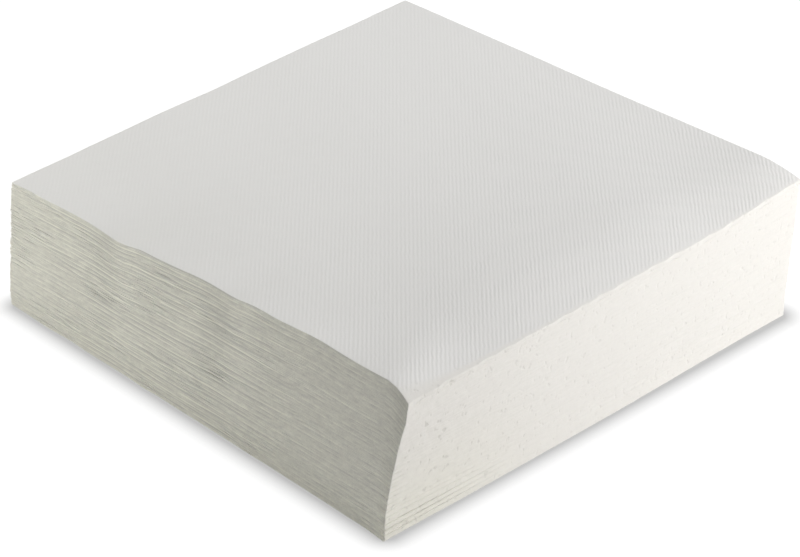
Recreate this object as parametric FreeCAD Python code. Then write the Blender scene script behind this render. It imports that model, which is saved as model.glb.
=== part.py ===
"""A stack of quarter-folded paper napkins, one solid for each napkin.

Frame: millimetres, +Z up. The stack stands on z = 0 and its box is centred on the origin. Each napkin is a
square sheet folded twice. The main fold is at +X, the two nested first folds are at +Y, and the open edges
of its four leaves are at -Y and -X.
"""

import FreeCAD, Part
import math
import os

# Driving dimensions in millimetres and degrees

# The folded napkin
FOLDED_WIDTH = 200.0        # along X, from the open edges to the main fold
FOLDED_DEPTH = 200.0        # along Y, from the open edges to the first folds
LEAF_THICKNESS = 0.42       # one leaf of embossed tissue, its plies pressed together
LEAF_GAP = 0.04             # air between the two leaves of a half
MIDDLE_GAP = 0.07           # air between the two halves
TURN_FLAT_COUNT = 3         # flats that the inner leaf is pressed to where it goes round the main fold
FIRST_FOLD_BEVEL = 0.22     # how far the outside of the first folds is pressed off, up and in

# The pile
NAPKIN_COUNT = 30
ROLL_OVER_WIDTH = 28.0      # how far in from the main fold the pile starts to round off
ROLL_OVER_DROP = 4.7        # how much lower the top of the pile is at its main folds
ROLL_OVER_LEAD = 0.5        # how much sooner the top of a napkin rolls over than its underside

# How the pile leans: where its lowest napkin lies, seen from the top one
LEAN_X = 0.5
LEAN_Y = -5.5
TWIST_DEGREES = -1.47
UPRIGHT_SHARE = 0.15        # share of the height, at the bottom, that stands upright

# How far single napkins stray from the pile
STRAY_ACROSS = 0.30         # along X
STRAY_ALONG = 0.25          # along Y
STRAY_DEGREES = 0.04
STRAY_TURN = 2.4            # radians from one napkin's stray to the next

# Worked out from the sizes above
NAPKIN_THICKNESS = 4.0 * LEAF_THICKNESS + 2.0 * LEAF_GAP + MIDDLE_GAP
PILE_HEIGHT = NAPKIN_COUNT * NAPKIN_THICKNESS
HALF_WIDTH = FOLDED_WIDTH / 2.0
HALF_DEPTH = FOLDED_DEPTH / 2.0


def point(x, z, y=0.0):
    """A point of the section across the main fold."""
    return FreeCAD.Vector(x, y, z)


class Surface:
    """One leaf surface seen from the side: a level stretch, then an arc that rolls over to the main fold."""

    def __init__(self, height, open_x, roll_x, fold_x):
        """Lay the surface at a height, from its open edge past where it rolls over to its main fold.

        It sinks in proportion to its height, so the lowest one stays level and all lie close together.
        """
        self.height = height
        self.open_x = open_x
        self.roll_x = roll_x
        self.fold_x = fold_x
        drop = ROLL_OVER_DROP * height / PILE_HEIGHT
        self.radius = (ROLL_OVER_WIDTH**2 + drop**2) / (2.0 * drop) if drop > 0.0 else None

    def height_at(self, x):
        """The height of the surface at x, past the place where it rolls over."""
        if self.radius is None:
            return self.height
        return self.height - self.radius + math.sqrt(self.radius**2 - (x - self.roll_x) ** 2)

    def slope_at_fold(self):
        """The angle, in radians, by which the surface points down where the main fold begins."""
        if self.radius is None:
            return 0.0
        return math.asin((self.fold_x - self.roll_x) / self.radius)

    def open_end(self):
        """The point at the open edge."""
        return point(self.open_x, self.height)

    def fold_end(self):
        """The point where the main fold begins."""
        return point(self.fold_x, self.height_at(self.fold_x))

    def edges(self):
        """The level line, then the arc, which is straight where the surface doesn't sink."""
        start = point(self.roll_x, self.height)
        level = Part.makeLine(self.open_end(), start)
        if self.radius is None:
            return [level, Part.makeLine(start, self.fold_end())]
        middle_x = (self.roll_x + self.fold_x) / 2.0
        middle = point(middle_x, self.height_at(middle_x))
        return [level, Part.Arc(start, middle, self.fold_end()).toShape()]


def turn_points(lower, upper, angles):
    """Points on the half round from the end of one surface to the end of the one above.

    An angle is in radians, from -pi/2 at the lower end, through 0 at the nose, to pi/2 at the upper end.
    """
    start = lower.fold_end()
    end = upper.fold_end()
    centre = (start + end) / 2.0
    upward = (end - start) / 2.0
    slope = (lower.slope_at_fold() + upper.slope_at_fold()) / 2.0
    outward = point(math.cos(slope), -math.sin(slope)) * upward.Length
    return [centre + upward * math.sin(angle) + outward * math.cos(angle) for angle in angles]


def round_turn(lower, upper):
    """The outside of the main fold, a true half round."""
    return [Part.Arc(*turn_points(lower, upper, (-math.pi / 2.0, 0.0, math.pi / 2.0))).toShape()]


def pressed_turn(lower, upper, flats):
    """A turn inside the main fold, pressed to a few flats."""
    angles = [-math.pi / 2.0 + math.pi * step / flats for step in range(flats + 1)]
    points = turn_points(lower, upper, angles)
    return [Part.makeLine(a, b) for a, b in zip(points, points[1:])]


def strip_section(outside, inside, outer_turn, inner_turn, y):
    """The closed outline between two turns round the main fold, one inside the other, at a place along Y.

    outside and inside are each a lower and an upper surface, and each turn is the edges that join them.
    """
    edges = outside[0].edges() + outer_turn + outside[1].edges()
    edges.append(Part.makeLine(outside[1].open_end(), inside[1].open_end()))
    edges += inside[1].edges() + inner_turn + inside[0].edges()
    edges.append(Part.makeLine(inside[0].open_end(), outside[0].open_end()))
    outline = Part.Wire(Part.__sortEdges__(edges))
    outline.translate(point(0.0, 0.0, y))
    return outline


def strip_solid(section, length):
    """The solid that a section makes when it is drawn along Y."""
    return Part.Face(section).extrude(point(0.0, 0.0, length))


def folded_napkin(base, stray_x, stray_y):
    """One quarter-folded sheet lying at a height, with its edges moved by how far it strays.

    Two leaves, joined at the first fold, turn together round the main fold. The slot between them is open
    at the front and on the left, and one leaf thickness closes it at the first fold, where a bevel presses
    off the outside.
    """
    fold_x = HALF_WIDTH + stray_x - NAPKIN_THICKNESS / 2.0
    open_x = -HALF_WIDTH + stray_x
    front_y = -HALF_DEPTH + stray_y
    back_y = HALF_DEPTH + stray_y

    def surfaces(depth, reach=0.0):
        """The lower and the upper leaf surface that lie this deep inside the napkin."""
        pair = []
        for height in (depth, NAPKIN_THICKNESS - depth):
            roll_x = HALF_WIDTH - ROLL_OVER_WIDTH - ROLL_OVER_LEAD * height / NAPKIN_THICKNESS
            pair.append(Surface(base + height, open_x - reach, roll_x, fold_x))
        return pair

    middle = surfaces(2.0 * LEAF_THICKNESS + LEAF_GAP)

    def leaf_section(depth, y):
        """The section of both leaves together, with its outside this deep inside the napkin."""
        outside = surfaces(depth)
        return strip_section(outside, middle, round_turn(*outside), pressed_turn(*middle, 1), y)

    bevel_y = back_y - FIRST_FOLD_BEVEL
    leaves = strip_solid(leaf_section(0.0, front_y), bevel_y - front_y)
    bevel = Part.makeLoft([leaf_section(0.0, bevel_y), leaf_section(FIRST_FOLD_BEVEL, back_y)], True, True)

    slot_outside = surfaces(LEAF_THICKNESS, LEAF_THICKNESS)
    slot_inside = surfaces(LEAF_THICKNESS + LEAF_GAP, LEAF_THICKNESS)
    slot_section = strip_section(
        slot_outside,
        slot_inside,
        pressed_turn(*slot_outside, TURN_FLAT_COUNT),
        pressed_turn(*slot_inside, TURN_FLAT_COUNT),
        front_y - LEAF_THICKNESS,
    )
    slot = strip_solid(slot_section, back_y - front_y)
    return leaves.fuse(bevel).cut(slot).removeSplitter().Solids[0]


def lean_share(height):
    """How far down the lean a napkin lies: 0 at the top of the pile and 1 at and below the upright part."""
    upright = UPRIGHT_SHARE * PILE_HEIGHT
    return min(1.0, (PILE_HEIGHT - height) / (PILE_HEIGHT - upright))


def napkin_in_pile(index):
    """The napkin with this index, counted from 0 at the bottom, folded and set down in its place."""
    base = index * NAPKIN_THICKNESS
    turn = STRAY_TURN * index
    napkin = folded_napkin(base, STRAY_ACROSS * math.sin(turn), STRAY_ALONG * math.cos(1.3 * turn))
    share = lean_share(base + NAPKIN_THICKNESS)
    degrees = TWIST_DEGREES * share + STRAY_DEGREES * math.sin(1.7 * turn)
    napkin.rotate(FreeCAD.Vector(0.0, 0.0, 0.0), FreeCAD.Vector(0.0, 0.0, 1.0), degrees)
    napkin.translate(FreeCAD.Vector(LEAN_X * share, LEAN_Y * share, 0.0))
    return napkin


def centre_on_origin(napkins):
    """Move the napkins together so that the pile's box is centred on the origin."""
    box = FreeCAD.BoundBox()
    for napkin in napkins:
        box.add(napkin.optimalBoundingBox(False))
    centre = box.Center
    for napkin in napkins:
        napkin.translate(FreeCAD.Vector(-centre.x, -centre.y, -box.ZMin))


def main():
    """Build the pile and write one file for each napkin, counted from the bottom."""
    os.makedirs("parts", exist_ok=True)
    napkins = [napkin_in_pile(index) for index in range(NAPKIN_COUNT)]
    centre_on_origin(napkins)
    for number, napkin in enumerate(napkins, start=1):
        napkin.exportStep(f"parts/napkin_{number:02d}.step")


main()
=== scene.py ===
"""A pile of thirty quarter-folded white paper napkins on a white floor.

Everything is in metres, +Z up. The open edges of the napkins are at -Y (front) and -X (left), their main
folds are at +X (right), and their first folds are at +Y (back). Each napkin is one closed skin round one
tissue sheet, worked out from the flat sheet: every point of the sheet is folded twice, and then laid into
the pile.
"""

import logging
import math
from dataclasses import dataclass
from enum import Enum

import bpy
import numpy as np
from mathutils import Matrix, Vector


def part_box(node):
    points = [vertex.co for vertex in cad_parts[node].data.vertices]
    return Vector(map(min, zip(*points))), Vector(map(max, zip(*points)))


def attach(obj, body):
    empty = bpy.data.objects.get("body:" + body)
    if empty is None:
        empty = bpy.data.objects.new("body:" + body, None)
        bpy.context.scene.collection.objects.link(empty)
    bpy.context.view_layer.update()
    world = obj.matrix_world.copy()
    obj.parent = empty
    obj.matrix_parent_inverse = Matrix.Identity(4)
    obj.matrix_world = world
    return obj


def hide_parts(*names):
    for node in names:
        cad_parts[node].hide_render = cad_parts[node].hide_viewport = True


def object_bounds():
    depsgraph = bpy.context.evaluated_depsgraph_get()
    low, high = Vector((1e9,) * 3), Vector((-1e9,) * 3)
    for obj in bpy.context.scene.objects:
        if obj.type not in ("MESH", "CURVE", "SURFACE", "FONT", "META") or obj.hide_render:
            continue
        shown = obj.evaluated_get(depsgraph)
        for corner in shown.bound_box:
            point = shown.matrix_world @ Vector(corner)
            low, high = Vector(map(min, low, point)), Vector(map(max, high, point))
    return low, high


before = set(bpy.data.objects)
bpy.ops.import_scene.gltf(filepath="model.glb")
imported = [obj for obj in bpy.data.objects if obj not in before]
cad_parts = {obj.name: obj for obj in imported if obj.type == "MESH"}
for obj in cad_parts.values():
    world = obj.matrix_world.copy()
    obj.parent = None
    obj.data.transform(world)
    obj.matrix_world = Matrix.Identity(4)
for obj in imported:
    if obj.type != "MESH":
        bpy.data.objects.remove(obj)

LOG = logging.getLogger("napkins")
BODY = "root"
CAD_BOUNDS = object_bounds()
WHITE = (1.0, 1.0, 1.0, 1.0)


def smooth_step(low: float, high: float, value: np.ndarray) -> np.ndarray:
    """Rise smoothly from 0 at low to 1 at high.

    Args:
        low: where the rise starts.
        high: where it ends.
        value: where to measure it.

    Returns:
        3 t^2 - 2 t^3, with t the clamped share of the way from low to high.
    """
    share = np.clip((value - low) / (high - low), 0.0, 1.0)
    return share * share * (3.0 - 2.0 * share)


def bell(value: np.ndarray, centre: float, width: float) -> np.ndarray:
    """A bell curve, exp(-((value - centre) / width)^2)."""
    return np.exp(-(((value - centre) / width) ** 2))


def signed_power(value: np.ndarray, power: np.ndarray) -> np.ndarray:
    """The size of a value raised to a power, with its sign kept."""
    return np.sign(value) * np.abs(value) ** power


def add_object(name: str, data: bpy.types.ID) -> bpy.types.Object:
    """Put an object into the scene, at the origin.

    Args:
        name: the object's name.
        data: its mesh, lamp or camera.

    Returns:
        The object.
    """
    made = bpy.data.objects.new(name, data)
    bpy.context.scene.collection.objects.link(made)
    return made


class Ripple:
    """A smooth uneven quantity: a sum of sine waves with random lengths, directions and phases."""

    def __init__(self, seed: int, waves: int, slowest: tuple[float, ...], fastest: tuple[float, ...]) -> None:
        """Draw the waves.

        Args:
            seed: makes the draw repeatable.
            waves: how many waves are added.
            slowest: for each coordinate, the fewest radians per unit.
            fastest: for each coordinate, the most radians per unit.
        """
        rng = np.random.default_rng(seed)
        speeds = rng.uniform(slowest, fastest, (waves, len(slowest)))
        self.speeds = speeds * rng.choice((-1.0, 1.0), speeds.shape)
        self.phases = rng.uniform(0.0, math.tau, waves)

    def at(self, *coordinates: np.ndarray) -> np.ndarray:
        """Measure the ripple.

        Args:
            *coordinates: one array, or number, for each coordinate.

        Returns:
            The sum over the waves of sin(speeds . coordinates + phase), scaled to a mean square of 1.
        """
        total = 0.0
        for speeds, phase in zip(self.speeds, self.phases):
            total = total + np.sin(sum(v * x for v, x in zip(speeds, coordinates)) + phase)
        return total * math.sqrt(2.0 / len(self.phases))


@dataclass(frozen=True)
class Bump:
    """A rise or a dip along an edge, as shares of the edge and metres."""

    place: float
    rise: float
    width: float


@dataclass(frozen=True)
class TissueSheet:
    """One flat tissue sheet and the way that its folds are pressed."""

    width: float = 0.400
    air_share: float = 0.04             # of a leaf's pitch, left free on each side of the leaf
    main_fold_reach: float = 0.0013     # flat sheet, to each side of the middle, taken up by the main fold
    first_fold_reach: float = 0.0004
    nose_depth: float = 0.00095         # how far the outer leaf's turn stands out from where it starts
    first_fold_power: float = 2.6
    inner_nose_power: float = 2.2
    rim_bulge: float = 0.00006          # how far the middle of a cut edge stands out
    fold_press: float = 0.93            # share of the air that is pressed out at the main fold
    fold_press_reach: float = 0.006


@dataclass(frozen=True)
class PileShape:
    """The heights of the boundaries between the napkins, which hold all that bends the pile as a whole.

    Shares across and along are 0 at the open edges of the top napkin and 1 at its folds.
    """

    centre_x: float
    centre_y: float
    side: float
    height: float
    count: int
    roll_over_drop: float = 0.0047
    roll_over_drop_back: float = 0.0032
    roll_over_start: float = 0.86
    roll_over_start_front: float = 0.955
    roll_over_start_back: float = 0.905
    roll_over_power: float = 1.8
    roll_over_end: float = 1.15         # share of its run at which the roll-over goes no deeper
    front_part: float = 0.22            # share along up to which the front's values count
    back_part: float = 0.75             # share along from which the back's values count
    corner_sag: float = 0.0039
    sag_end: float = 1.1                # share of its run at which the sag goes no deeper
    wave_reach: float = 0.016           # how far the front edge's wave runs back into the top
    wave_power: float = 1.5             # how fast it fades towards the floor
    front_wave: tuple[Bump, ...] = (
        Bump(0.270, 0.00040, 0.161),
        Bump(0.287, -0.00264, 0.044),
        Bump(0.588, 0.00180, 0.135),
        Bump(0.584, -0.00216, 0.039),
        Bump(0.788, 0.00169, 0.076),
    )
    unevenness: float = 0.14            # of a napkin's thickness
    calm_levels: float = 1.5            # boundaries next to the floor and the top that are more even
    swell: float = 0.00018              # slow rise and fall of the top
    swell_height: float = 0.3           # share of the height at which the swell is full
    corner_spring: float = 0.034        # of the height, by which the lowest napkins rise at the near corner
    spring_share: float = 0.70          # of the height, over which they rise and settle again
    spring_reach: float = 0.30          # of the side
    calm_ruffle: float = 0.25           # share of the ruffle that is left in calm patches
    ruffle_range: tuple[float, float] = (-0.6, 0.7)     # of its ripple, from calm to ruffled
    smooth_range: tuple[float, float] = (0.50, 0.90)    # share of the edge over which the ruffle is lost
    smooth_low: float = 0.55            # share of the ruffle that is lost there low down
    smooth_high: float = 0.35           # how much more of it is lost near the top
    smooth_heights: tuple[float, float] = (0.35, 0.65)
    thickness_ripple: Ripple = Ripple(11, 7, (8.0, 8.0, 0.4), (60.0, 60.0, 2.3))
    swell_ripple: Ripple = Ripple(12, 6, (20.0, 20.0), (90.0, 90.0))
    ruffle_ripple: Ripple = Ripple(13, 8, (25.0, 0.10), (130.0, 0.75))

    def shares(self, x: np.ndarray, y: np.ndarray) -> tuple[np.ndarray, np.ndarray]:
        """The shares across and along the top napkin at a place."""
        return (x - self.centre_x) / self.side + 0.5, (y - self.centre_y) / self.side + 0.5

    def wave(self, across: np.ndarray, along: np.ndarray) -> np.ndarray:
        """The front edge's crests and dips, which fade as exp(-distance from the edge / reach)."""
        edge = sum(bump.rise * bell(across, bump.place, bump.width) for bump in self.front_wave)
        return edge * np.exp(-np.maximum(along, 0.0) * self.side / self.wave_reach)

    def ruffle(self, level: int, edge_share: np.ndarray) -> np.ndarray:
        """How ruffled the cut edges are, in patches: least at the smooth corner next to the main folds.

        Args:
            level: the napkin.
            edge_share: the place along the front edge, from 0 at the left to 1 at the main folds.

        Returns:
            A share, from nearly 0 where they are cut clean to 1.
        """
        ripple = self.ruffle_ripple.at(edge_share * self.side, float(level))
        patchy = self.calm_ruffle + (1.0 - self.calm_ruffle) * smooth_step(*self.ruffle_range, ripple)
        high = smooth_step(*self.smooth_heights, np.array(level / self.count))
        lost = (self.smooth_low + self.smooth_high * high) * smooth_step(*self.smooth_range, edge_share)
        return patchy * (1.0 - lost)

    def boundary(self, level: int, x: np.ndarray, y: np.ndarray) -> np.ndarray:
        """The height of one boundary between napkins.

        The whole height is the CAD height, less a roll-over towards the main folds (drop times t^power, with
        t the share of the way from its start to the fold), less a sag that is bilinear about the left front
        corner, and more or less a slow swell. A boundary lies at its share of that height, and the front wave
        fades towards the floor as share^power. At the corner between the front and the main folds the lowest
        napkins have sprung up a little.

        Args:
            level: 0 at the floor, and the number of napkins at the top.
            x: places along X.
            y: places along Y.

        Returns:
            The heights.
        """
        across, along = self.shares(x, y)
        to_front = 1.0 - smooth_step(0.0, self.front_part, along)
        to_back = smooth_step(self.back_part, 1.0, along)
        start = self.roll_over_start + (self.roll_over_start_front - self.roll_over_start) * to_front
        start = start + (self.roll_over_start_back - self.roll_over_start) * to_back
        drop = self.roll_over_drop + (self.roll_over_drop_back - self.roll_over_drop) * to_back
        rolled = np.clip((across - start) / (1.0 - start), 0.0, self.roll_over_end)
        roll = drop * rolled**self.roll_over_power
        sag_across, sag_along = (np.clip(1.0 - place, 0.0, self.sag_end) for place in (across, along))
        sag = self.corner_sag * sag_across * sag_along
        swell = self.swell * self.swell_ripple.at(x, y)
        share = level / self.count
        calm = min(1.0, level / self.calm_levels, (self.count - level) / self.calm_levels)
        uneven = self.unevenness * calm / self.count * self.thickness_ripple.at(x, y, float(level))
        whole = self.height - roll - sag + swell * smooth_step(0.0, self.swell_height, np.array(share))
        loose = self.corner_spring * math.sin(math.pi * min(share / self.spring_share, 1.0))
        loose = loose * bell(1.0 - across, 0.0, self.spring_reach) * bell(along, 0.0, self.spring_reach)
        return (share + uneven + loose) * whole + share**self.wave_power * self.wave(across, along)


class Edge(Enum):
    """The four sides of a folded napkin, each with how wide and how deep the gaps between napkins open there.

    A value is the widest opening, how deep it reaches, the share of gaps that stay shut, and a seed.
    """

    FRONT = (0.00020, 0.0022, 0.25, 21)
    LEFT = (0.00012, 0.0018, 0.40, 22)
    MAIN_FOLD = (0.00001, 0.0008, 0.80, 23)
    FIRST_FOLD = (0.00022, 0.0015, 0.30, 24)


@dataclass(frozen=True)
class GapPattern:
    """How the gaps between napkins open towards one side."""

    widest: float
    reach: float
    base: np.ndarray        # for each boundary, how far its gap opens, as a share of the widest
    ripple: Ripple
    variation: float = 0.30

    @classmethod
    def towards(cls, edge: Edge, count: int) -> "GapPattern":
        """Draw the pattern for one side.

        Args:
            edge: the side.
            count: how many napkins there are.

        Returns:
            The pattern.
        """
        widest, reach, shut_share, seed = edge.value
        base = np.random.default_rng(seed).uniform(-shut_share, 1.0 - shut_share, count + 1)
        return cls(widest, reach, base, Ripple(seed + 100, 5, (14.0, 0.9), (75.0, 2.9)))

    def opening(self, level: int, along_edge: np.ndarray, inside: np.ndarray) -> np.ndarray:
        """How wide a gap is open: its base width, varied along the edge, fading as a bell curve inwards.

        Args:
            level: the boundary between napkins.
            along_edge: the place along the edge.
            inside: the distance from the edge.

        Returns:
            The opening in metres.
        """
        width = self.base[level] + self.variation * self.ripple.at(along_edge, float(level))
        width = np.clip(width, 0.0, 1.0)
        return self.widest * width * bell(np.maximum(inside, 0.0), 0.0, self.reach)


def place_of_node(name: str) -> tuple[float, float, float]:
    """Read where a napkin's CAD solid lies.

    Its front edge runs from the corner with the least x + y to the corner with the most x - y.

    Args:
        name: the CAD node.

    Returns:
        The middle of its square, x and y, and how far it is turned.
    """
    low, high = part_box(name)
    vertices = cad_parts[name].data.vertices
    points = np.empty(len(vertices) * 3)
    vertices.foreach_get("co", points)
    x, y, _ = points.reshape(-1, 3).T
    left = np.argmin(x + y)
    right = np.argmax(x - y)
    turned = math.atan2(y[right] - y[left], x[right] - x[left])
    return (low.x + high.x) / 2.0, (low.y + high.y) / 2.0, turned


class Lean:
    """How the pile leans and twists: a curve of the fourth degree up the pile, so its sides are flush."""

    DEGREE = 4

    def __init__(self, names: list[str]) -> None:
        """Fit the curve to the CAD solids.

        Args:
            names: the CAD nodes, from the bottom up.
        """
        levels = np.arange(len(names)) + 0.5
        places = np.array([place_of_node(name) for name in names])
        self.curves = [np.polyfit(levels, values, self.DEGREE) for values in places.T]

    def at(self, level: np.ndarray) -> list[np.ndarray]:
        """The middle of the square, x and y, and how far it is turned, at a height counted in napkins."""
        return [np.polyval(curve, level) for curve in self.curves]


def crowded(length: float, close: tuple[float, ...], step: float) -> np.ndarray:
    """Places along a length that crowd towards both of its ends.

    Args:
        length: the whole length.
        close: distances from each end, from 0 up.
        step: about how far apart the places are in between.

    Returns:
        The places, from 0 to the length.
    """
    close_to_start = np.array(close)
    inner_start, inner_end = close_to_start[-1], length - close_to_start[-1]
    count = max(2, round((inner_end - inner_start) / step))
    inner = np.linspace(inner_start, inner_end, count + 1)[1:-1]
    return np.concatenate((close_to_start, inner, length - close_to_start[::-1]))


def folded_in_half(
    length: float, reach: float, close: tuple[float, ...], step: float, turn: int
) -> np.ndarray:
    """Places along a sheet that is folded in the middle: two crowded runs with the turn between them.

    Args:
        length: the sheet's whole length.
        reach: how much of each half the turn takes.
        close: distances from each end of a run, from 0 up.
        step: about how far apart the places are in a run.
        turn: how many steps the turn has.

    Returns:
        The places, from 0 to the length.
    """
    run = crowded(length / 2.0 - reach, close, step)
    middle = length / 2.0 + reach * np.linspace(-1.0, 1.0, turn + 1)
    return np.concatenate((run, middle[1:-1], length - run[::-1]))


@dataclass(frozen=True)
class NapkinGrid:
    """How finely a sheet is divided."""

    close: tuple[float, ...] = (0.0, 0.0004, 0.0011, 0.0023, 0.0045, 0.0080)
    step_across: float = 0.0045
    step_along: float = 0.0120
    main_fold_steps: int = 12
    first_fold_steps: int = 6
    rim_sides: tuple[float, ...] = (0.55, 0.0, -0.55)   # rows of a cut edge, from the outer side to the inner


@dataclass
class Napkin:
    """One quarter-folded napkin."""

    name: str
    level: int
    lean: Lean
    pile: PileShape
    sheet: TissueSheet
    grid: NapkinGrid
    gaps: dict[Edge, GapPattern]
    stagger: float = 0.00018            # how far the leaves' cut edges stray where they are ruffled
    stagger_reach: float = 0.012
    left_stagger: float = 0.00010
    other_leaf: float = 40.0            # moves a ripple's place on, so that the leaves stray differently
    top_fold_stray: float = 0.00012     # how far the uppermost main fold strays
    fold_stray_reach: float = 0.004
    splay: float = 0.0011               # how far the lowest main folds reach out towards the front
    splay_height: float = 0.16          # as a share of the pile's height
    splay_end: float = 0.8              # share of the back half at which the splay has faded out
    corner_reach: float = 0.014
    corner_bulge: float = 0.0009        # how far the corner bulges out near the top
    bulge_place: float = 0.88
    bulge_width: float = 0.14
    spring_gap: float = 0.00015         # how wide the gaps are between main folds that have sprung open
    spring_gap_reach: float = 0.006
    loose_levels: tuple[float, float] = (3.0, 7.5)          # napkins from the floor that spring open
    loose_depths: tuple[float, float] = (0.012, 0.060)      # distances from the front over which that ends
    part_loose_levels: tuple[float, float] = (14.0, 20.0)   # napkins from the floor that part a little
    part_loose: float = 0.6
    part_loose_reach: float = 0.006
    push_in: float = 0.0010             # how far the front is pushed in at its dips
    nose_power: float = 45.0            # how square the main fold is pressed
    top_nose_power: float = 6.0         # on top of the pile, where nothing holds it down
    round_nose_power: float = 2.6       # where it was never pressed, low down at the front corner

    def __post_init__(self) -> None:
        """Work out what follows from the sizes."""
        self.half = self.sheet.width / 4.0
        self.pitch = self.pile.height / self.pile.count / 4.0
        self.front_stray = Ripple(300 + self.level, 8, (20.0,), (420.0,))
        self.left_stray = Ripple(400 + self.level, 7, (12.0,), (260.0,))
        self.fold_stray = Ripple(500, 9, (150.0,), (780.0,))

    def looseness(self, y: np.ndarray) -> np.ndarray:
        """How far a main fold has sprung open: low down and, less far in, at the front corner.

        Args:
            y: places in the napkin's own square.

        Returns:
            A share, from 0 where it is pressed to 1 where it is open.
        """
        height = np.array(self.level + 0.5)
        start, end = (depth - self.half for depth in self.loose_depths)
        low = (1.0 - smooth_step(*self.loose_levels, height)) * (1.0 - smooth_step(start, end, y))
        parting = self.part_loose * (1.0 - smooth_step(*self.part_loose_levels, height))
        return np.maximum(low, parting * bell(y, -self.half, self.part_loose_reach))

    def fold(self, across: np.ndarray, along: np.ndarray, side: np.ndarray) -> tuple[np.ndarray, ...]:
        """Fold points of the sheet into a flat quarter napkin.

        The first fold turns the sheet about the line between two leaves: the distance from that line is the
        radius, half a leaf's pitch plus or minus half its thickness, and the turn is r sin(a), 1 - r cos(a).
        The main fold then carries each layer round a flattened half oval, x = nose |cos|^(2/n) and
        height = layer |sin|^(2/n). Layers are counted in leaf pitches from the outside of the napkin.

        Args:
            across: places on the sheet across the main fold.
            along: places on the sheet along the main fold.
            side: 1 on the outer side of the sheet, -1 on its inner side.

        Returns:
            x and y in the napkin's own square, and the height as a share of the napkin's thickness.
        """
        sheet = self.sheet
        middle = sheet.width / 2.0

        angle = (np.clip((along - middle) / sheet.first_fold_reach, -1.0, 1.0) + 1.0) * math.pi / 2.0
        air = sheet.air_share * (1.0 - sheet.fold_press * bell(across, middle, sheet.fold_press_reach))
        radius = 0.5 + side * (0.5 - air)
        first_power = 2.0 / sheet.first_fold_power
        layer = 1.0 - radius * signed_power(np.cos(angle), first_power)
        run = np.where(along < middle, along, sheet.width - along)
        straight = middle - sheet.first_fold_reach
        y = -self.half + np.minimum(run, straight) * (2.0 * self.half - self.pitch) / straight
        y = y + self.pitch * radius * np.abs(np.sin(angle)) ** first_power

        angle = np.clip((across - middle) / sheet.main_fold_reach, -1.0, 1.0) * math.pi / 2.0
        on_top = (self.level + 1 == self.pile.count) & (angle > 0.0)
        pressed = np.where(on_top, self.top_nose_power, self.nose_power)
        outer_power = pressed + (self.round_nose_power - pressed) * self.looseness(y) ** 0.5
        power = 2.0 / (outer_power + (sheet.inner_nose_power - outer_power) * np.clip(layer, 0.0, 1.0))
        nose = sheet.nose_depth - layer * self.pitch
        run = np.where(across < middle, across, sheet.width - across)
        straight = middle - sheet.main_fold_reach
        x = -self.half + np.minimum(run, straight) * (2.0 * self.half - sheet.nose_depth) / straight
        x = x + nose * np.abs(np.cos(angle)) ** power
        share = 0.5 + 0.5 * (1.0 - layer / 2.0) * signed_power(np.sin(angle), power)
        return x, y, share

    def strayed(
        self, x: np.ndarray, y: np.ndarray, across: np.ndarray, along: np.ndarray
    ) -> tuple[np.ndarray, np.ndarray]:
        """Let the cut edges and the uppermost fold stray, and push the front in at the dips of the pile.

        Args:
            x: places in the napkin's own square.
            y: places in the napkin's own square.
            across: places on the sheet across the main fold.
            along: places on the sheet along the main fold.

        Returns:
            The changed x and y.
        """
        to_front = np.exp(-(y + self.half) / self.stagger_reach)
        to_left = np.exp(-(x + self.half) / self.stagger_reach)
        front_leaf, left_leaf = (
            np.where(place < 2.0 * self.half, 0.0, self.other_leaf) for place in (along, across)
        )
        share = (x + self.half) / (2.0 * self.half)
        front = self.stagger * self.pile.ruffle(self.level, share) * self.front_stray.at(across + front_leaf)
        left = self.left_stagger * self.left_stray.at(along + left_leaf)
        dips = sum(bell(share, bump.place, bump.width) for bump in self.pile.front_wave if bump.rise < 0.0)
        height_share = (self.level + 0.5) / self.pile.count
        front = front + self.push_in * dips * math.sqrt(height_share)
        to_fold = np.exp((x - self.half) / self.fold_stray_reach) * (self.level + 1 == self.pile.count)
        fold = self.top_fold_stray * self.fold_stray.at(y)
        return x + left * to_left + fold * to_fold, y + front * to_front

    def splayed(
        self, x: np.ndarray, y: np.ndarray, height_share: np.ndarray
    ) -> tuple[np.ndarray, np.ndarray]:
        """Let the corner between the front and the main folds spread a little, at the floor and near the top.

        The lowest main folds reach out by the splay along the front part of the pile, and the corner moves to
        the front too. Near the top only the corner itself bulges out.

        Args:
            x: places in the napkin's own square.
            y: places in the napkin's own square.
            height_share: the place's share of the pile's height.

        Returns:
            The changed x and y.
        """
        low = 1.0 - smooth_step(0.0, self.splay_height, height_share)
        to_fold = smooth_step(0.0, 1.0, x / self.half)
        corner = np.exp((x - self.half) / self.corner_reach - (y + self.half) / self.corner_reach)
        ahead = 1.0 - smooth_step(0.0, self.splay_end, y / self.half)
        bulge = self.corner_bulge * bell(height_share, self.bulge_place, self.bulge_width)
        x = x + self.splay * low * to_fold * ahead + bulge * corner
        return x, y - self.splay * low * corner

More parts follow.
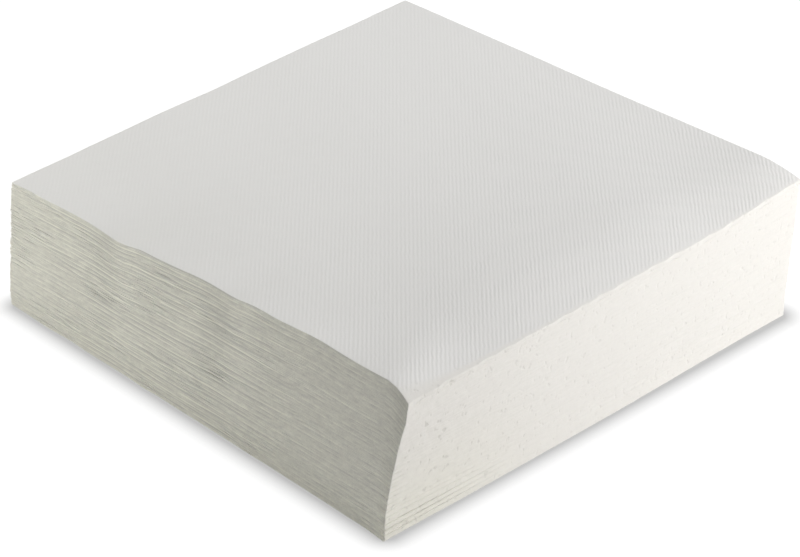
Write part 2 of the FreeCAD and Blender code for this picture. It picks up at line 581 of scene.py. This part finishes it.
    def lay(self, across: np.ndarray, along: np.ndarray, side: np.ndarray) -> np.ndarray:
        """Carry points of the flat sheet to their place in the pile.

        Args:
            across: places on the sheet across the main fold.
            along: places on the sheet along the main fold.
            side: 1 on the outer side of the sheet, -1 on its inner side.

        Returns:
            The points, one row each.
        """
        x, y, share = self.fold(across, along, side)
        distances = {
            Edge.FRONT: (x, y + self.half),
            Edge.LEFT: (y, x + self.half),
            Edge.MAIN_FOLD: (y, self.half - x),
            Edge.FIRST_FOLD: (x, self.half - y),
        }
        lower_gap = sum(self.gaps[edge].opening(self.level, *place) for edge, place in distances.items())
        upper_gap = sum(self.gaps[edge].opening(self.level + 1, *place) for edge, place in distances.items())
        share_across = (x + self.half) / (2.0 * self.half)
        lower_gap = lower_gap * self.pile.ruffle(self.level, share_across)
        upper_gap = upper_gap * self.pile.ruffle(self.level + 1, share_across)
        spring = self.spring_gap * self.looseness(y) * bell(self.half - x, 0.0, self.spring_gap_reach)
        lower_gap = (lower_gap + spring) * (self.level > 0)
        upper_gap = (upper_gap + spring) * (self.level + 1 < self.pile.count)
        x, y = self.strayed(x, y, across, along)
        x, y = self.splayed(x, y, (self.level + share) / self.pile.count)
        middle_x, middle_y, angle = self.lean.at(self.level + share)
        cosine, sine = np.cos(angle), np.sin(angle)
        world_x = middle_x + x * cosine - y * sine
        world_y = middle_y + x * sine + y * cosine
        bottom = self.pile.boundary(self.level, world_x, world_y) + lower_gap / 2.0
        top = self.pile.boundary(self.level + 1, world_x, world_y) - upper_gap / 2.0
        return np.stack((world_x, world_y, bottom + (top - bottom) * share), axis=-1)

    def make(self) -> bpy.types.Object:
        """Build the napkin's skin: its outer and inner side, joined round the cut edges by a rounded rim.

        Returns:
            The napkin's object, at the origin.
        """
        sheet, grid = self.sheet, self.grid
        rows = folded_in_half(
            sheet.width, sheet.main_fold_reach, grid.close, grid.step_across, grid.main_fold_steps
        )
        columns = folded_in_half(
            sheet.width, sheet.first_fold_reach, grid.close, grid.step_along, grid.first_fold_steps
        )
        across, along = (axis.ravel() for axis in np.meshgrid(rows, columns, indexing="ij"))
        count = len(across)
        index = np.arange(count).reshape(len(rows), len(columns))
        loop = np.concatenate((index[:-1, 0], index[-1, :-1], index[:0:-1, -1], index[0, :0:-1]))
        away_across = np.where(across[loop] <= 0.0, -1.0, np.where(across[loop] >= sheet.width, 1.0, 0.0))
        away_along = np.where(along[loop] <= 0.0, -1.0, np.where(along[loop] >= sheet.width, 1.0, 0.0))

        parts = [(across, along, np.ones(count))]
        for rim_side in grid.rim_sides:
            bulge = sheet.rim_bulge * math.sqrt(1.0 - rim_side * rim_side)
            parts.append((
                across[loop] + away_across * bulge,
                along[loop] + away_along * bulge,
                np.full(len(loop), rim_side),
            ))
        parts.append((across, along, -np.ones(count)))
        flat_across, flat_along, sides = (np.concatenate(values) for values in zip(*parts))
        points = self.lay(flat_across, flat_along, sides)

        quads = np.stack((index[:-1, :-1], index[1:, :-1], index[1:, 1:], index[:-1, 1:]), -1).reshape(-1, 4)
        inner_start = len(points) - count
        rim_rows = [loop]
        for number in range(len(grid.rim_sides)):
            rim_rows.append(count + number * len(loop) + np.arange(len(loop)))
        rim_rows.append(loop + inner_start)
        rims = [
            np.stack((np.roll(upper, -1), upper, lower, np.roll(lower, -1)), -1)
            for upper, lower in zip(rim_rows, rim_rows[1:])
        ]
        faces = np.concatenate([quads, quads[:, ::-1] + inner_start, *rims])
        rim_faces = len(faces) - 2 * len(quads)
        at_front = (flat_along < grid.close[1] / 2.0) | (flat_along > sheet.width - grid.close[1] / 2.0)
        layer = 2.0 * (flat_across > sheet.width / 2.0) + (flat_along > sheet.width / 2.0)
        edge_place = np.where(at_front, flat_across, flat_along)
        maps = {
            "flat_sheet": np.stack((flat_across, flat_along), -1) / sheet.width,
            "cut_edge": np.stack((edge_place, self.pitch * (4.0 * self.level + layer + 0.5 * sides)), -1),
        }
        return self.skin(points, faces, maps, rim_faces)

    def skin(
        self, points: np.ndarray, faces: np.ndarray, maps: dict[str, np.ndarray], rim_faces: int
    ) -> bpy.types.Object:
        """Put the skin into a mesh.

        Args:
            points: the corners.
            faces: the quads, with the rim's last.
            maps: for each UV map, the corners' places on it.
            rim_faces: how many quads the rim has.

        Returns:
            The object.
        """
        if signed_volume(points, faces) < 0.0:
            faces = faces[:, ::-1]
        mesh = bpy.data.meshes.new(self.name)
        mesh.from_pydata(points, [], faces.tolist())
        mesh.polygons.foreach_set("use_smooth", np.ones(len(faces), dtype=bool))
        finish = np.zeros(len(faces), dtype=np.int32)
        finish[-rim_faces:] = 1
        mesh.polygons.foreach_set("material_index", finish)
        corners = np.empty(len(mesh.loops), dtype=np.int32)
        mesh.loops.foreach_get("vertex_index", corners)
        for name, places in maps.items():
            mesh.uv_layers.new(name=name).data.foreach_set("uv", places[corners].ravel())
        mesh.update()
        return add_object(self.name, mesh)


def signed_volume(points: np.ndarray, faces: np.ndarray) -> float:
    """The volume inside a closed skin of quads, negative where its faces point inwards.

    Args:
        points: the corners.
        faces: the quads.

    Returns:
        A sixth of the sum over the triangles of a . (b x c).
    """
    a, b, c, d = (points[faces[:, corner]] for corner in range(4))
    first = np.einsum("ij,ij->i", a, np.cross(b, c)).sum()
    second = np.einsum("ij,ij->i", a, np.cross(c, d)).sum()
    return float(first + second) / 6.0


class NodeSketch:
    """Adds and joins the nodes of a material, a node group or the world."""

    def __init__(self, tree: bpy.types.NodeTree) -> None:
        """Start from a tree."""
        self.tree = tree

    def feed(self, target: bpy.types.NodeSocket, value: object) -> None:
        """Give an input its value.

        Args:
            target: the input.
            value: a socket to link it to, or a number, vector or colour.
        """
        if isinstance(value, bpy.types.NodeSocket):
            self.tree.links.new(value, target)
        else:
            target.default_value = value

    def node(
        self, kind: str, inputs: dict[str, object] | None = None, **settings: object
    ) -> bpy.types.bpy_prop_collection:
        """Add a node.

        Args:
            kind: the node's type name.
            inputs: the values of its inputs, apart from those that stay as they are.
            **settings: its properties.

        Returns:
            Its outputs.
        """
        made = self.tree.nodes.new(kind)
        for name, value in settings.items():
            setattr(made, name, value)
        for name, value in (inputs or {}).items():
            self.feed(made.inputs[name], value)
        return made.outputs

    def math(self, operation: str, *values: object) -> bpy.types.NodeSocket:
        """Add a Math node.

        Args:
            operation: what it does.
            *values: numbers or sockets.

        Returns:
            Its result.
        """
        made = self.tree.nodes.new("ShaderNodeMath")
        made.operation = operation
        for socket, value in zip(made.inputs, values):
            self.feed(socket, value)
        return made.outputs[0]

    def parts(self, vector: bpy.types.NodeSocket) -> bpy.types.bpy_prop_collection:
        """The X, Y and Z of a vector."""
        return self.node("ShaderNodeSeparateXYZ", {"Vector": vector})

    def noise(
        self, place: bpy.types.NodeSocket, scale: object, detail: float, dimensions: str = "2D"
    ) -> bpy.types.NodeSocket:
        """Noise from 0 to 1 at a place."""
        inputs = {"Vector": place, "Scale": scale, "Detail": detail}
        return self.node("ShaderNodeTexNoise", inputs, noise_dimensions=dimensions)["Fac"]

    def rise(self, value: bpy.types.NodeSocket, low: object, high: object) -> bpy.types.NodeSocket:
        """A smooth step from 0 where the value is low to 1 where it is high."""
        inputs = {"Value": value, "From Min": low, "From Max": high}
        return self.node("ShaderNodeMapRange", inputs, interpolation_type="SMOOTHSTEP")["Result"]

    def mix(self, share: bpy.types.NodeSocket, first: object, second: object) -> bpy.types.NodeSocket:
        """The first colour where the share is 0, blending to the second where it is 1."""
        inputs = {"Factor": share, "A": first, "B": second}
        return self.node("ShaderNodeMix", inputs, data_type="RGBA")["Result"]

    def bump(self, height: bpy.types.NodeSocket, distance: float, **below: object) -> bpy.types.NodeSocket:
        """The normal of a height times a distance, on top of the Normal of the bumps below."""
        return self.node("ShaderNodeBump", {"Height": height, "Distance": distance, **below})["Normal"]


def new_material(
    name: str, fixed: dict[str, object]
) -> tuple[bpy.types.Material, NodeSketch, bpy.types.bpy_prop_collection]:
    """Make a material.

    Args:
        name: the material's name.
        fixed: the values of the shader's inputs that are the same all over.

    Returns:
        The material, a sketch of its nodes, and its shader's inputs.
    """
    made = bpy.data.materials.new(name)
    made.use_nodes = True
    sketch = NodeSketch(made.node_tree)
    shader = made.node_tree.nodes["Principled BSDF"].inputs
    for socket_name, value in fixed.items():
        sketch.feed(shader[socket_name], value)
    return made, sketch, shader


def new_group(name: str, inputs: dict[str, float], outputs: tuple[str, ...]) -> bpy.types.NodeTree:
    """Make a shader node group with number sockets.

    Args:
        name: the group's name.
        inputs: the inputs and their usual values.
        outputs: the outputs.

    Returns:
        The group, with its input and output nodes.
    """
    group = bpy.data.node_groups.new(name, "ShaderNodeTree")
    for socket_name, value in inputs.items():
        socket = group.interface.new_socket(socket_name, in_out="INPUT", socket_type="NodeSocketFloat")
        socket.default_value = value
    for socket_name in outputs:
        group.interface.new_socket(socket_name, in_out="OUTPUT", socket_type="NodeSocketFloat")
    group.nodes.new("NodeGroupInput")
    group.nodes.new("NodeGroupOutput")
    return group


@dataclass(frozen=True)
class RibPattern:
    """The fine ribs that are rolled into the flat sheet from corner to corner."""

    pitch: float = 0.0020
    crease_start: float = 0.4           # share of the main fold's reach that has no ribs
    crease_width: float = 0.0015        # how far from the middle of the main fold they are full
    corner_width: float = 0.0058        # how much further at the corner with the front edge
    corner_reach: float = 0.022
    drift_scale: float = 130.0
    drift_detail: float = 1.0
    drift: float = 0.35                 # turns by which the ribs wander
    patch_scale: float = 60.0
    patch_detail: float = 3.0
    wear: float = 1.3                   # strength lost, for each sheet width away from the main fold

    def group(self, sheet: TissueSheet) -> bpy.types.NodeTree:
        """Make the node group.

        The height is 0.5 + strength cos(2 pi (along - across) / pitch), with a slow drift. The strength
        varies in patches and is worn down towards the open edges. The ribs fade out in the main fold, and
        sooner near the corner between it and the front, where the crease is wider by corner width
        exp(-distance / reach).

        Args:
            sheet: the sheet that the pattern lies on.

        Returns:
            The group.
        """
        values = {
            "Pitch": self.pitch,
            "Crease Width": self.crease_width,
            "Corner Width": self.corner_width,
            "Corner Reach": self.corner_reach,
        }
        group = new_group("emboss_ribs", values, ("Height", "Crease"))
        sketch = NodeSketch(group)
        given = group.nodes["Group Input"].outputs
        flat = sketch.node("ShaderNodeUVMap", uv_map="flat_sheet")["UV"]
        place = sketch.parts(flat)
        distance = sketch.math("MULTIPLY", sketch.math("SUBTRACT", place["Y"], place["X"]), sheet.width)
        turns = sketch.math("DIVIDE", distance, given["Pitch"])
        drift = sketch.noise(flat, self.drift_scale, self.drift_detail)
        turns = sketch.math("MULTIPLY_ADD", drift, self.drift, turns)
        wave = sketch.math("COSINE", sketch.math("MULTIPLY", turns, math.tau))
        patches = sketch.noise(flat, self.patch_scale, self.patch_detail)
        from_fold = sketch.math("ABSOLUTE", sketch.math("SUBTRACT", place["X"], 0.5))
        worn = sketch.math("MULTIPLY_ADD", from_fold, -self.wear, 1.0)
        height = sketch.math("MULTIPLY_ADD", wave, sketch.math("MULTIPLY", patches, worn), 0.5)

        from_middle = sketch.math("ABSOLUTE", sketch.math("SUBTRACT", place["Y"], 0.5))
        to_front = sketch.math("MULTIPLY_ADD", from_middle, -sheet.width, sheet.width / 2.0)
        fading = sketch.math("MULTIPLY", sketch.math("DIVIDE", to_front, given["Corner Reach"]), -1.0)
        corner = sketch.math("MULTIPLY", sketch.math("POWER", math.e, fading), given["Corner Width"])
        away = sketch.rise(
            sketch.math("MULTIPLY", from_fold, sheet.width),
            sheet.main_fold_reach * self.crease_start,
            sketch.math("ADD", corner, given["Crease Width"]),
        )
        result = group.nodes["Group Output"].inputs
        sketch.feed(result["Height"], sketch.math("MULTIPLY", height, away))
        sketch.feed(result["Crease"], sketch.math("SUBTRACT", 1.0, away))
        return group


@dataclass(frozen=True)
class FibrePattern:
    """Short fibres, soft clumps and sparse pits, as layers of noise on the object's own coordinates."""

    fine_scale: float = 2200.0
    fine_detail: float = 3.0
    clump_scale: float = 420.0
    clump_detail: float = 2.0
    pit_scale: float = 480.0
    pit_detail: float = 1.0
    pit_start: float = 0.60             # value of the noise at which a pit begins
    pit_full: float = 0.78

    def group(self) -> bpy.types.NodeTree:
        """Make the node group.

        Returns:
            The group.
        """
        scales = {
            "Fine Scale": self.fine_scale,
            "Clump Scale": self.clump_scale,
            "Pit Scale": self.pit_scale,
        }
        group = new_group("paper_fibres", scales, ("Fine", "Clumps", "Pits"))
        sketch = NodeSketch(group)
        given = group.nodes["Group Input"].outputs
        place = sketch.node("ShaderNodeTexCoord")["Object"]
        pits = sketch.noise(place, given["Pit Scale"], self.pit_detail, "3D")
        layers = {
            "Fine": sketch.noise(place, given["Fine Scale"], self.fine_detail, "3D"),
            "Clumps": sketch.noise(place, given["Clump Scale"], self.clump_detail, "3D"),
            "Pits": sketch.rise(pits, self.pit_start, self.pit_full),
        }
        for name, layer in layers.items():
            sketch.feed(group.nodes["Group Output"].inputs[name], layer)
        return group


@dataclass(frozen=True)
class TissueFinish:
    """Soft white tissue: matt, faintly mottled, with rolled ribs and short fibres, painted shade in the ribs'
    grooves and in the pits and dents of the folds, and painted light on the folds.
    """

    name: str = "white_tissue"
    # light and dark: the ribs' crests and grooves, a painted highlight and painted shade of the ribs, mixed
    # with the clumps' random tone
    light: tuple[float, float, float, float] = (0.850, 0.847, 0.838, 1.0)
    dark: tuple[float, float, float, float] = (0.822, 0.819, 0.810, 1.0)
    clump_tint: float = 0.5
    # folded: lighter than the flat leaves, as painted light on the folds, and a little yellower
    folded: tuple[float, float, float, float] = (0.872, 0.860, 0.834, 1.0)
    low_front_tint: tuple[float, float, float, float] = (0.915, 0.903, 0.838, 1.0)    # yellower and lighter colour of the folds, low down at the front
    low_front_height: float = 0.042
    low_front_from: float = -0.020           # along Y
    low_front_to: float = -0.095
    pit_shade_colour: tuple[float, float, float, float] = (0.560, 0.545, 0.505, 1.0)  # painted shade in the pits and dents of the folds
    far_pit_shade: float = 0.07              # how much of that painted shade the pits and dents take at the back
    front_pit_shade: float = 0.25            # how much more at the front
    # weight of the clumps' dents in the painted shade of the folds
    dent_shade: float = 0.9
    roughness: float = 0.95
    specular: float = 0.25
    sheen: float = 0.12
    sheen_roughness: float = 0.5
    rib_pitch: float = 0.0020
    rib_depth: float = 0.000050
    fibre_depth: float = 0.000030
    pit_depth: float = 0.000110
    fold_unevenness: float = 0.7

    def material(self, ribs: bpy.types.NodeTree, fibres: bpy.types.NodeTree) -> bpy.types.Material:
        """Make the material.

        Args:
            ribs: the ribs' group.
            fibres: the fibres' group.

        Returns:
            The material.
        """
        fixed = {
            "Roughness": self.roughness,
            "Specular IOR Level": self.specular,
            "Sheen Weight": self.sheen,
            "Sheen Roughness": self.sheen_roughness,
        }
        made, sketch, shader = new_material(self.name, fixed)
        rib = sketch.node("ShaderNodeGroup", {"Pitch": self.rib_pitch}, node_tree=ribs)
        fibre = sketch.node("ShaderNodeGroup", node_tree=fibres)

        # painted shade of the ribs: darker in their grooves, lighter on their crests, plus the clumps' random
        # tone
        rib_shade_and_clumps = sketch.math("MULTIPLY_ADD", fibre["Clumps"], self.clump_tint, rib["Height"])
        rib_shade_and_clumps = sketch.math("SUBTRACT", rib_shade_and_clumps, self.clump_tint / 2.0)
        rib_shade_and_clump_tint = sketch.mix(rib_shade_and_clumps, self.dark, self.light)
        place = sketch.parts(sketch.node("ShaderNodeTexCoord")["Object"])
        low = sketch.rise(place["Z"], self.low_front_height, 0.0)
        front = sketch.rise(place["Y"], self.low_front_from, self.low_front_to)
        # painted light on the folds, with their yellower tint, stronger low down at the front
        fold_tint = sketch.mix(sketch.math("MULTIPLY", low, front), self.folded, self.low_front_tint)
        tint = sketch.mix(rib["Crease"], rib_shade_and_clump_tint, fold_tint)
        # painted shade in the pits and dents of the folds, deeper towards the front
        dents_and_pits = sketch.math("MULTIPLY_ADD", fibre["Clumps"], self.dent_shade, fibre["Pits"])
        pit_shade_share = sketch.math("MULTIPLY_ADD", front, self.front_pit_shade, self.far_pit_shade)
        painted_pit_shade = sketch.math("MULTIPLY", sketch.math("MULTIPLY", dents_and_pits, rib["Crease"]), pit_shade_share)
        sketch.feed(shader["Base Color"], sketch.mix(painted_pit_shade, tint, self.pit_shade_colour))

        ribbed = sketch.bump(rib["Height"], self.rib_depth)
        fuzzy = sketch.bump(fibre["Fine"], self.fibre_depth, Normal=ribbed)
        uneven = sketch.math("MULTIPLY_ADD", fibre["Clumps"], -self.fold_unevenness, 1.0)
        uneven = sketch.math("SUBTRACT", uneven, fibre["Pits"])
        uneven = sketch.math("MULTIPLY", uneven, rib["Crease"])
        sketch.feed(shader["Normal"], sketch.bump(uneven, self.pit_depth, Normal=fuzzy))
        return made


@dataclass(frozen=True)
class CutEdgeFinish:
    """The cut edges of the leaves, where the fibres stand out, with painted highlights on protruding leaf
    edges and painted shade between them.
    """

    name: str = "cut_edge"
    # light and dark: the ends of the fibre and streak mottle, which also carry painted highlights on the leaf
    # edges and painted shade between them
    light: tuple[float, float, float, float] = (0.960, 0.960, 0.900, 1.0)
    dark: tuple[float, float, float, float] = (0.690, 0.685, 0.670, 1.0)
    mean_tint: float = 0.4              # taken off the sum of the patterns, so that it centres on the tint
    roughness: float = 1.0
    specular: float = 0.15
    fibre_scale: float = 1600.0
    fibre_depth: float = 0.000060
    fibre_tint: float = 0.8
    streak_scale: tuple[float, float, float] = (260.0, 560.0, 1.0)  # along a cut edge and across the leaves
    patch_scale: tuple[float, float, float] = (45.0, 320.0, 1.0)
    noise_detail: float = 2.0
    patch_start: float = 0.38           # value of the noise at which a patch of loose leaves, with painted leaf highlights, begins
    patch_full: float = 0.66
    napkin_pitch: float = 0.00183
    folded_side: float = 0.200          # from the sheet's edge to its folds
    loosest: float = 0.118              # where the leaves lie loosest and the painted highlights are strongest, from the fold
    loose_width: float = 0.080
    least_loose: float = 0.25
    leaf_highlight_strength: float = 1.25         # how bright the painted highlight on one leaf edge of each napkin is, with painted shade between

    def material(self, fibres: bpy.types.NodeTree) -> bpy.types.Material:
        """Make the material.

        Streaks and fibres mottle the edge. Painted highlights of the protruding leaf edges, with painted
        shade between them, cos(2 pi height / napkin pitch), run along it in patches, and are strongest where
        the leaves lie loosest: 1 - (distance from there / width)^2.

        Args:
            fibres: the fibres' group.

        Returns:
            The material.
        """
        fixed = {"Roughness": self.roughness, "Specular IOR Level": self.specular}
        made, sketch, shader = new_material(self.name, fixed)
        fibre = sketch.node("ShaderNodeGroup", {"Fine Scale": self.fibre_scale}, node_tree=fibres)
        edge = sketch.node("ShaderNodeUVMap", uv_map="cut_edge")["UV"]
        noises = []
        for scale in (self.streak_scale, self.patch_scale):
            stretched = sketch.node("ShaderNodeMapping", {"Vector": edge, "Scale": scale})["Vector"]
            noises.append(sketch.noise(stretched, 1.0, self.noise_detail))
        streaks, patches = noises
        patch_range = {"Value": patches, "From Min": self.patch_start, "From Max": self.patch_full}
        loose = sketch.node("ShaderNodeMapRange", patch_range)["Result"]

        place = sketch.parts(edge)
        from_fold = sketch.math("ABSOLUTE", sketch.math("SUBTRACT", place["X"], self.folded_side))
        apart = sketch.math("DIVIDE", sketch.math("SUBTRACT", from_fold, self.loosest), self.loose_width)
        highlight_envelope = sketch.math("MULTIPLY_ADD", sketch.math("POWER", apart, 2.0), -1.0, 1.0)
        highlight_envelope = sketch.math("MAXIMUM", highlight_envelope, self.least_loose)
        # painted highlights on one leaf edge of each napkin, with painted shade between them
        turns = sketch.math("MULTIPLY", place["Y"], math.tau / self.napkin_pitch)
        line = sketch.math("MULTIPLY", sketch.math("COSINE", turns), loose)
        line = sketch.math("MULTIPLY", line, highlight_envelope)
        # mottle of fibres and streaks, plus the painted leaf highlights and shade
        mottled = sketch.math("MULTIPLY_ADD", fibre["Fine"], self.fibre_tint, streaks)
        mottled = sketch.math("MULTIPLY_ADD", line, self.leaf_highlight_strength, mottled)
        mottled = sketch.math("SUBTRACT", mottled, self.mean_tint)
        sketch.feed(shader["Base Color"], sketch.mix(mottled, self.dark, self.light))
        sketch.feed(shader["Normal"], sketch.bump(fibre["Fine"], self.fibre_depth))
        return made


@dataclass(frozen=True)
class Foot:
    """The square that the pile stands on."""

    x: float
    y: float
    angle: float
    half: float


@dataclass
class NapkinPile:
    """The whole pile."""

    count: int = 30
    sheet: TissueSheet = TissueSheet()
    grid: NapkinGrid = NapkinGrid()
    top_grid: NapkinGrid = NapkinGrid(step_along=0.003)
    ribs: RibPattern = RibPattern()
    fibres: FibrePattern = FibrePattern()
    tissue: TissueFinish = TissueFinish()
    cut_edge: CutEdgeFinish = CutEdgeFinish()

    def build(self) -> tuple[Vector, Foot]:
        """Build, dress and declare every napkin.

        Returns:
            The middle of the top napkin's square, at half the pile's height, and where the pile stands.
        """
        names = [f"napkin_{number:02d}" for number in range(1, self.count + 1)]
        lean = Lean(names)
        top_x, top_y, _ = map(float, lean.at(self.count - 0.5))
        height = CAD_BOUNDS[1].z - CAD_BOUNDS[0].z
        shape = PileShape(top_x, top_y, self.sheet.width / 2.0, height, self.count)
        gaps = {edge: GapPattern.towards(edge, self.count) for edge in Edge}
        fibres = self.fibres.group()
        tissue = self.tissue.material(self.ribs.group(self.sheet), fibres)
        finishes = (tissue, self.cut_edge.material(fibres))
        for level, name in enumerate(names):
            grid = self.top_grid if level + 1 == self.count else self.grid
            napkin = Napkin(f"{name}_tissue", level, lean, shape, self.sheet, grid, gaps)
            piece = napkin.make()
            for finish in finishes:
                piece.data.materials.append(finish)
            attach(piece, BODY)
            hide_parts(name)
            LOG.info("%s: %d faces", piece.name, len(piece.data.polygons))
        foot = Foot(*map(float, lean.at(0.5)), self.sheet.width / 4.0)
        return Vector((top_x, top_y, height / 2.0)), foot


def look_at(
    looker: bpy.types.Object, target: Vector, azimuth: float, elevation: float, distance: float
) -> None:
    """Place a lamp or a camera and turn it to its target.

    Args:
        looker: the lamp or camera.
        target: what it looks at.
        azimuth: where it stands, in degrees from -Y towards +X.
        elevation: how high it stands, in degrees.
        distance: how far it is from the target.
    """
    turn, rise = math.radians(azimuth), math.radians(elevation)
    back = Vector((math.sin(turn) * math.cos(rise), -math.cos(turn) * math.cos(rise), math.sin(rise)))
    looker.location = target + back * distance
    looker.rotation_mode = "QUATERNION"
    looker.rotation_quaternion = (-back).to_track_quat("-Z", "Y")


@dataclass(frozen=True)
class Lamp:
    """A soft square lamp that looks at the pile."""

    name: str
    azimuth: float      # degrees from -Y towards +X
    elevation: float
    distance: float
    size: float
    watts: float
    colour: tuple[float, float, float] = (1.0, 1.0, 1.0)

    def light(self, target: Vector) -> None:
        """Hang the lamp.

        Args:
            target: what it looks at.
        """
        data = bpy.data.lights.new(self.name, "AREA")
        data.energy = self.watts
        data.size = self.size
        data.color = self.colour
        look_at(add_object(self.name, data), target, self.azimuth, self.elevation, self.distance)


def seen_in_view(sketch: NodeSketch) -> bpy.types.NodeSocket:
    """Tell the camera's own rays from other light.

    Args:
        sketch: the tree that asks.

    Returns:
        1 for what is seen directly, in a mirror or through glass, and 0 for the rest.
    """
    path = sketch.node("ShaderNodeLightPath")
    mirrored = sketch.math("MAXIMUM", path["Is Camera Ray"], path["Is Glossy Ray"])
    return sketch.math("MAXIMUM", mirrored, path["Is Transmission Ray"])


@dataclass(frozen=True)
class Studio:
    """White floor, soft lamps and the camera."""

    azimuth: float = 45.0
    elevation: float = 31.25
    distance: float = 1.026
    lens: float = 130.3
    aim_x: float = 0.0180       # from the middle of the top napkin
    aim_y: float = -0.0211
    clip: tuple[float, float] = (0.01, 50.0)
    floor_size: float = 6.0
    floor_colour: tuple[float, float, float, float] = (0.80, 0.80, 0.80, 1.0)
    seen_floor_colour: tuple[float, float, float, float] = (0.12, 0.12, 0.12, 1.0)
    contact_reach: float = 0.0112   # how far the shade runs out from the foot of the pile
    contact_power: float = 2.05
    contact_depth: float = 0.53     # how much of the glow the shade takes away at the foot
    foot_shift: float = 0.0007      # the lowest main folds splay to this side
    foot_rounding: float = 0.0045   # of the shade's corners
    foot_margin: float = 0.0011     # how far the ruffled foot reaches past the folded square
    lamps: tuple[Lamp, ...] = (
        Lamp("right_key", 125.0, 12.0, 0.9, 0.6, 8.09, (1.0, 0.984, 0.959)),
        Lamp("front_fill", -30.0, 12.0, 0.5, 0.35, 1.05, (1.0, 0.984, 0.879)),
        Lamp("far_soft", 170.0, 60.0, 0.7, 0.5, 1.54),
        Lamp("left_soft", -90.0, 60.0, 0.7, 0.5, 1.90),
    )

    def build(self, middle: Vector, foot: Foot) -> None:
        """Set everything up.

        Args:
            middle: the middle of the top napkin's square, at half the pile's height.
            foot: where the pile stands.
        """
        self.set_camera(middle)
        self.lay_floor(foot)
        self.set_world()
        for lamp in self.lamps:
            lamp.light(middle)
        bpy.context.scene.view_settings.view_transform = "Standard"

    def set_camera(self, middle: Vector) -> None:
        """Place the camera and look just past the middle of the pile.

        Args:
            middle: the middle of the top napkin's square, at half the pile's height.
        """
        data = bpy.data.cameras.new("camera")
        data.lens = self.lens
        data.clip_start, data.clip_end = self.clip
        camera = add_object("camera", data)
        aim = middle + Vector((self.aim_x, self.aim_y, 0.0))
        look_at(camera, aim, self.azimuth, self.elevation, self.distance)
        bpy.context.scene.camera = camera

    def lay_floor(self, foot: Foot) -> None:
        """A plain white floor.

        To the camera and to mirrors it glows white, and it sends ordinary light back to everything else. The
        shade at the foot of the pile takes away depth (1 - distance / reach)^power of the glow, with the
        distance measured from a square with rounded corners.

        Args:
            foot: where the pile stands.
        """
        half = self.floor_size / 2.0
        corners = [(-half, -half, 0.0), (half, -half, 0.0), (half, half, 0.0), (-half, half, 0.0)]
        mesh = bpy.data.meshes.new("floor")
        mesh.from_pydata(corners, [], [(0, 1, 2, 3)])
        add_object("floor", mesh)
        fixed = {"Roughness": 1.0, "Specular IOR Level": 0.0, "Emission Color": WHITE}
        made, sketch, shader = new_material("white_floor", fixed)
        mesh.materials.append(made)

        set_square = {
            "Vector": sketch.node("ShaderNodeTexCoord")["Object"],
            "Location": (foot.x + self.foot_shift, foot.y, 0.0),
            "Rotation": (0.0, 0.0, foot.angle),
        }
        place = sketch.parts(sketch.node("ShaderNodeMapping", set_square, vector_type="TEXTURE")["Vector"])
        half_foot = foot.half + self.foot_margin - self.foot_rounding
        squared = []
        for axis in ("X", "Y"):
            beyond = sketch.math("SUBTRACT", sketch.math("ABSOLUTE", place[axis]), half_foot)
            squared.append(sketch.math("POWER", sketch.math("MAXIMUM", beyond, 0.0), 2.0))
        distance = sketch.math("SQRT", sketch.math("ADD", *squared))
        distance = sketch.math("MAXIMUM", sketch.math("SUBTRACT", distance, self.foot_rounding), 0.0)
        near = sketch.math("MULTIPLY_ADD", distance, -1.0 / self.contact_reach, 1.0)
        shade = sketch.math("POWER", sketch.math("MAXIMUM", near, 0.0), self.contact_power)
        unshaded = sketch.math("MULTIPLY_ADD", shade, -self.contact_depth, 1.0)
        seen = seen_in_view(sketch)
        sketch.feed(shader["Base Color"], sketch.mix(seen, self.floor_colour, self.seen_floor_colour))
        sketch.feed(shader["Emission Strength"], sketch.math("MULTIPLY", seen, unshaded))

    def set_world(self) -> None:
        """A white background, which gives the pile no light of its own."""
        world = bpy.data.worlds.new("room")
        world.use_nodes = True
        bpy.context.scene.world = world
        sketch = NodeSketch(world.node_tree)
        backdrop = world.node_tree.nodes["Background"].inputs
        sketch.feed(backdrop["Color"], WHITE)
        sketch.feed(backdrop["Strength"], seen_in_view(sketch))


def main() -> None:
    """Build the pile and the studio."""
    logging.basicConfig(level=logging.INFO, format="%(name)s: %(message)s")
    middle, foot = NapkinPile().build()
    Studio().build(middle, foot)


if __name__ == "__main__":
    main()
